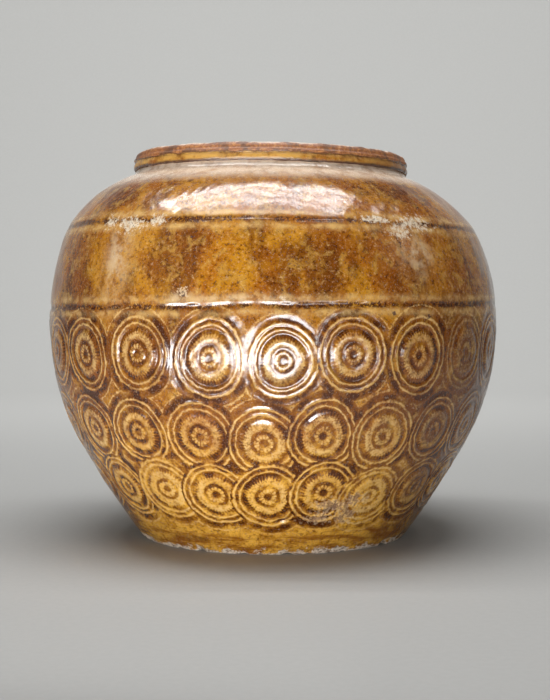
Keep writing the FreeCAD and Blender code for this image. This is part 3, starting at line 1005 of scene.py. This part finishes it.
def neck_and_foot(tree, place, colour, patch):
    """Lays a painted sheen on the neck, the wiped foot and its bare gritty edge over the glaze, and gives
    the edge.
    """
    rise = add(tree, "ShaderNodeSeparateXYZ", (place,)).outputs[2]
    # Painted sheen: the neck is taken towards a pale tone where the lamps above would reflect
    neck = times(tree, span(tree, rise, *NECK_SHEEN_SPAN), span(tree, patch, 0.3, 0.6, 0.5, 0.92))
    colour = blend(tree, neck, colour, NECK_SHEEN)
    wipes = noise(tree, stretched(tree, place, WIPE_STRETCH), *WIPE_PATTERN)
    wipes = times(tree, wipes, span(tree, rise, *WIPE_SPAN))
    colour = tint(tree, colour, RUST, wipes, 0.44, 0.62, 0.8)
    stray = span(tree, noise(tree, place, *BARE_EDGE_PATTERN), 0.3, 0.7, -BARE_STRAY, BARE_STRAY)
    bare = span(tree, plus(tree, rise, stray), *BARE_SPAN)
    grit = noise(tree, place, *FOOT_GRIT_PATTERN)
    grit = blend(tree, span(tree, grit, 0.38, 0.56), GRIT_DARK, GRIT_PALE)
    return blend(tree, bare, colour, grit), bare


def jar_glaze(name, stamped=False):
    """The outside's glaze, dark where it pools, thin and pale on the ridges, bare at the foot's edge."""
    material, tree, place = start_finish(name)
    colour, mottle, grain = mottled_glaze(tree, place)
    fleck = noise(tree, place, *FLECK_PATTERN)
    patch = noise(tree, place, *PATCH_PATTERN)
    height = times(tree, mottle, 0.5)
    if stamped:
        colour, tone = roundel_glaze(tree, place, colour, mottle, fleck)
        height = less(tree, height, times(tree, tone, 0.5))
    colour, line = line_glaze(tree, colour, patch, fleck)
    colour, skip, scar = fired_marks(tree, place, colour, fleck, grain)
    colour, bare = neck_and_foot(tree, place, colour, patch)
    dull_grain = span(tree, grain, 0.44, 0.30, 0.0, 0.7)
    worn = most(tree, bare, skip, scar, dull_grain, times(tree, line, 0.2))
    roughness = span(tree, worn, 0.0, 1.0, GLOSS_ROUGHNESS, WORN_ROUGHNESS)
    height = plus(tree, height, times(tree, grain, 0.4))
    glazed(finish_with(tree, colour, roughness, height, GLAZE_BUMP))
    return material


LIP_RED = (0.210, 0.062, 0.011, 1)
LIP_RED_PALE = (0.400, 0.165, 0.045, 1)
LIP_YELLOW = (0.52, 0.28, 0.055, 1)
# Dark brown for the lip's turned line and clay patches, and for the painted shadow along its underside
LIP_DARK_AND_SHADOW = (0.060, 0.022, 0.010, 1)
LIP_BONE = (0.66, 0.56, 0.47, 1)
LIP_PATCH_PATTERN = (90, 4, 0.65)
LIP_GRIT_PATTERN = (520, 3, 0.65)
# Towards the right end the band goes rust: partly the glaze's own rust, partly painted shade
LIP_RIGHT_RUST_AND_SHADE_SPAN = (0.035, 0.095)

# Shares of the way round the lip's section from its underside, where each finish starts and is full
# Painted shadow: the band is darkened along the lip's underside, where its overhang would shade it
LIP_UNDERSIDE_SHADOW_SHARES = (0.15, 0.03)
LIP_LINE_START_SHARES = (0.32, 0.365)
LIP_LINE_END_SHARES = (0.42, 0.38)
LIP_CLAY_SHARES = (0.36, 0.39)
LIP_BARE_SHARES = (0.38, 0.44)
LIP_TOP_START_SHARES = (0.62, 0.69)
LIP_TOP_END_SHARES = (0.98, 0.9)
LIP_STRAY_SHARE = 0.03


def lip_glaze(name):
    """The lip: yellow-brown glaze on its band, wiped to red clay on the bead, pale on its worn top, with a
    painted shadow along its underside and painted shade at its right end.
    """
    material, tree, place = start_finish(name)
    glaze, mottle, grain = mottled_glaze(tree, place)
    patch = noise(tree, place, *LIP_PATCH_PATTERN)
    grit = noise(tree, place, *LIP_GRIT_PATTERN)
    stray = span(tree, patch, 0.3, 0.7, -LIP_STRAY_SHARE, LIP_STRAY_SHARE)
    along = plus(tree, look(tree, "along"), stray)
    band = blend(tree, span(tree, patch, 0.4, 0.65), LIP_YELLOW, glaze)
    aside = add(tree, "ShaderNodeSeparateXYZ", (place,)).outputs[0]
    # Painted shade: the band darkens to rust towards the right side, where the light falls off, over the
    # glaze's own rust there
    band = blend(tree, span(tree, aside, *LIP_RIGHT_RUST_AND_SHADE_SPAN, 0.0, 0.65), band, RUST)
    clay = blend(tree, span(tree, grit, 0.42, 0.66), LIP_RED, LIP_RED_PALE)
    clay = tint(tree, clay, LIP_DARK_AND_SHADOW, patch, 0.52, 0.40, 0.7)
    colour = blend(tree, span(tree, along, *LIP_CLAY_SHARES), band, clay)
    line = times(tree, span(tree, along, *LIP_LINE_START_SHARES), span(tree, along, *LIP_LINE_END_SHARES))
    colour = blend(tree, times(tree, line, 0.75), colour, LIP_DARK_AND_SHADOW)
    # Painted shadow along the lip's underside
    colour = blend(tree, span(tree, along, *LIP_UNDERSIDE_SHADOW_SHARES), colour, LIP_DARK_AND_SHADOW)
    worn = times(tree, span(tree, along, *LIP_TOP_START_SHARES), span(tree, along, *LIP_TOP_END_SHARES))
    worn = times(tree, worn, span(tree, patch, 0.34, 0.58, 0.35, 0.9))
    colour = blend(tree, worn, colour, LIP_BONE)
    bare = span(tree, along, *LIP_BARE_SHARES)
    roughness = plus(tree, span(tree, bare, 0.0, 1.0, 0.2, 0.5), times(tree, grit, 0.1))
    height = plus(tree, times(tree, mottle, 0.5), grain)
    glazed(finish_with(tree, colour, roughness, height, LIP_BUMP))
    return material


CLAY_BROWN = (0.23, 0.125, 0.070, 1)
CLAY_PALE = (0.38, 0.25, 0.155, 1)
FINGER_PATTERN = (14, 3, 0.55)
CLAY_GRAIN_PATTERN = (540, 4, 0.7)
FINGER_STRETCH = 6.0


def bare_clay(name, stretch=1.0):
    """Unglazed fired clay with the rings of the potter's fingers, grains and a few dark iron specks."""
    material, tree, place = start_finish(name)
    rings = noise(tree, stretched(tree, place, stretch), *FINGER_PATTERN)
    grains = noise(tree, place, *CLAY_GRAIN_PATTERN)
    colour = blend(tree, span(tree, rings, 0.35, 0.65), CLAY_BROWN, CLAY_PALE)
    colour = tint(tree, colour, SPECK, grains, 0.42, 0.28, 0.7)
    colour = tint(tree, colour, CLAY_PALE, grains, 0.58, 0.74, 0.5)
    height = plus(tree, times(tree, rings, 3.0), grains)
    roughness = span(tree, grains, 0.2, 0.8, 0.62, 0.85)
    finish_with(tree, colour, roughness, height, CLAY_BUMP)
    return material


# The jar

GLAZE = jar_glaze("amber_glaze")
STAMPED_GLAZE = jar_glaze("amber_glaze_stamped", stamped=True)
LIP = lip_glaze("lip_glaze")
INSIDE = bare_clay("inner_clay", FINGER_STRETCH)
SLIP = bare_clay("luting_slip")


def lip_surface(turn, height):
    """The lip's hand-made unevenness, which dies out at the neck's root."""
    offset = LIP_DIMPLE_SIZE * ripple(turn, height, DIMPLES) + LIP_PEEL_SIZE * ripple(turn, height, PEEL)
    return offset * smooth((height - NECK_ROOT_HEIGHT) / LIP_CALM), {}


def stand_for(node, piece):
    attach(piece, "root")
    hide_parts(node)


def make_jar():
    courses = (
        ("foot_course", BASE_EDGE_HEIGHT, FOOT_SEAM_HEIGHT, FINE_STEP, False, False),
        ("middle_course", FOOT_SEAM_HEIGHT, MIDDLE_SEAM_HEIGHT, FINE_STEP, False, False),
        ("belly_course", MIDDLE_SEAM_HEIGHT, LOWER_LINE_HEIGHT, FINE_STEP, False, True),
        ("band_course", LOWER_LINE_HEIGHT, UPPER_LINE_HEIGHT, PLAIN_STEP, True, True),
        ("shoulder_course", UPPER_LINE_HEIGHT, NECK_ROOT_HEIGHT, PLAIN_STEP, True, False),
    )
    stamped = ("foot_course", "middle_course", "belly_course")
    for node, low, high, step, fine_low, fine_high in courses:
        section = course_section(low, high, step, fine_low, fine_high)
        glaze = STAMPED_GLAZE if node in stamped else GLAZE
        piece = make_ring(f"{node}_glazed", section, (glaze, INSIDE), stamped=node in stamped)
        stand_for(node, piece)
    collar = make_ring("neck_collar_glazed", collar_section(), (GLAZE, INSIDE), surface=lip_surface)
    stand_for("neck_collar", collar)
    lip = make_ring("lip_coil_glazed", lip_section(), (LIP, INSIDE), surface=lip_surface)
    stand_for("lip_coil", lip)
    base = make_ring("base_slab_worn", base_section(), (GLAZE, INSIDE), closed=False)
    stand_for("base_slab", base)
    for node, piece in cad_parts.items():
        if node == "base_corner_coil" or node.endswith("_slip"):
            piece.data.materials.clear()
            piece.data.materials.append(SLIP if node.endswith("_slip") else INSIDE)


make_jar()


# Studio

PAPER = (0.38, 0.38, 0.37, 1)
PAPER_FIBRE = (0.3686, 0.3686, 0.3589, 1)
PAPER_ROUGHNESS = 0.9
FIBRE_PATTERN = (240, 3, 0.55)
FLOOR_RADIUS = 2.6
WALL_HEIGHT = 2.2
WALL_BEND = 1.1
FLOOR_SIDES = 128
BEND_STEPS = 24
AIR_LEVEL = 0.10

# Each lamp's place, what it points at, its size, its brightness and, where narrow, its fan in degrees
LAMPS = (
    Lamp("low_front_tube_0", (-0.06, -0.672, 0.072), (-0.04, -0.566, 0.442), 0.38, 0.062, 23.0),
    Lamp("low_front_tube_1", (-0.06, -0.600, 0.052), (-0.04, -0.494, 0.422), 0.38, 0.062, 23.0),
    Lamp("low_front_tube_2", (-0.06, -0.528, 0.032), (-0.04, -0.422, 0.402), 0.38, 0.062, 23.0),
    Lamp("low_right_tube", (0.28, -0.58, 0.06), (0.20, -0.44, 0.40), 0.18, 0.05, 17.0),
    Lamp("floor_tube", (-0.10, -0.50, 0.012), (-0.09, -0.14, 0.046), 0.26, 0.018, 5.2, 28),
    Lamp("low_left_panel", (-0.37, -0.44, 0.026), (0, 0, 0.43), 0.12, 0.05, 11.0, 70),
    Lamp("overhead_tube_0", (-0.02, -0.18, 1.15), (-0.02, -0.23, 0.2), 0.95, 0.045, 28.0),
    Lamp("overhead_tube_1", (-0.02, -0.03, 1.15), (-0.02, -0.08, 0.2), 0.95, 0.045, 28.0),
    Lamp("overhead_tube_2", (-0.02, 0.12, 1.15), (-0.02, 0.07, 0.2), 0.95, 0.045, 28.0),
    Lamp("overhead_left_end", (-0.60, 0.06, 1.15), (0, 0, 0.2), 0.20, 0.12, 20.0),
    Lamp("overhead_right_end", (0.66, 0.10, 1.15), (0, 0, 0.2), 0.24, 0.05, 9.0),
    Lamp("ceiling_panel", (0.0, -0.36, 1.15), (0.0, -0.10, 0.2), 1.0, 0.20, 4.0),
    Lamp("right_softbox", (1.0, -0.35, 1.0), (0, 0, 0.2), 0.7, 0.7, 0.2),
    Lamp("left_softbox", (-1.25, -0.75, 0.55), (0, 0, 0.14), 1.4, 1.3, 0.15),
    Lamp("backdrop_light", (0.0, 0.8, 1.5), (0.0, 2.6, 0.7), 1.8, 0.5, 17.0),
)


def studio_paper():
    material, tree, place = start_finish("studio_paper")
    fibre = noise(tree, place, *FIBRE_PATTERN)
    colour = blend(tree, span(tree, fibre, 0.3, 0.7), PAPER, PAPER_FIBRE)
    finish_with(tree, colour, PAPER_ROUGHNESS, fibre, PAPER_BUMP)
    return material


def make_studio():
    """A round paper floor that bends up into a wall all round."""
    sheet = bmesh.new()
    bmesh.ops.create_circle(sheet, cap_ends=True, segments=FLOOR_SIDES, radius=FLOOR_RADIUS)
    rim = list(sheet.edges)
    raised = bmesh.ops.extrude_edge_only(sheet, edges=rim)["geom"]
    verts = [part for part in raised if isinstance(part, bmesh.types.BMVert)]
    bmesh.ops.translate(sheet, verts=verts, vec=(0, 0, WALL_HEIGHT))
    bmesh.ops.bevel(
        sheet, geom=rim, offset=WALL_BEND, affect="EDGES", segments=BEND_STEPS, profile=0.5, material=-1
    )
    mesh = bpy.data.meshes.new("studio_floor")
    sheet.to_mesh(mesh)
    sheet.free()
    mesh.polygons.foreach_set("use_smooth", np.ones(len(mesh.polygons), bool))
    mesh.materials.append(studio_paper())
    floor = bpy.data.objects.new("studio_floor", mesh)
    bpy.context.scene.collection.objects.link(floor)


def hang(lamp):
    light = bpy.data.lights.new(lamp.name, "AREA")
    light.shape = "RECTANGLE"
    light.size, light.size_y = lamp.width, lamp.tall
    light.energy = lamp.radiance * math.pi * lamp.width * lamp.tall
    light.spread = math.radians(lamp.fan)
    stand = bpy.data.objects.new(lamp.name, light)
    stand.location = lamp.place
    stand.rotation_euler = (Vector(lamp.target) - Vector(lamp.place)).to_track_quat("-Z", "Y").to_euler()
    bpy.context.scene.collection.objects.link(stand)


def make_lights():
    for lamp in LAMPS:
        hang(lamp)
    world = bpy.data.worlds.new("studio_air")
    world.use_nodes = True
    air = world.node_tree.nodes["Background"]
    air.inputs["Color"].default_value = (1, 1, 1, 1)
    air.inputs["Strength"].default_value = AIR_LEVEL
    bpy.context.scene.world = world


def make_camera():
    camera = bpy.data.cameras.new("camera")
    camera.sensor_width = SENSOR
    camera.lens = FOCAL_PIXELS / IMAGE_HEIGHT * SENSOR
    camera.clip_start = CAMERA_CLIP
    pitch = math.atan((IMAGE_HEIGHT / 2 - EYE_LEVEL_PIXEL) / FOCAL_PIXELS)
    stand = bpy.data.objects.new("camera", camera)
    stand.location = (CAMERA_ASIDE, -CAMERA_DISTANCE, CAMERA_HEIGHT)
    stand.rotation_euler = (math.radians(90) - pitch, 0, 0)
    bpy.context.scene.collection.objects.link(stand)
    bpy.context.scene.camera = stand


make_studio()
make_lights()
make_camera()
bpy.context.scene.view_settings.view_transform = "Standard"
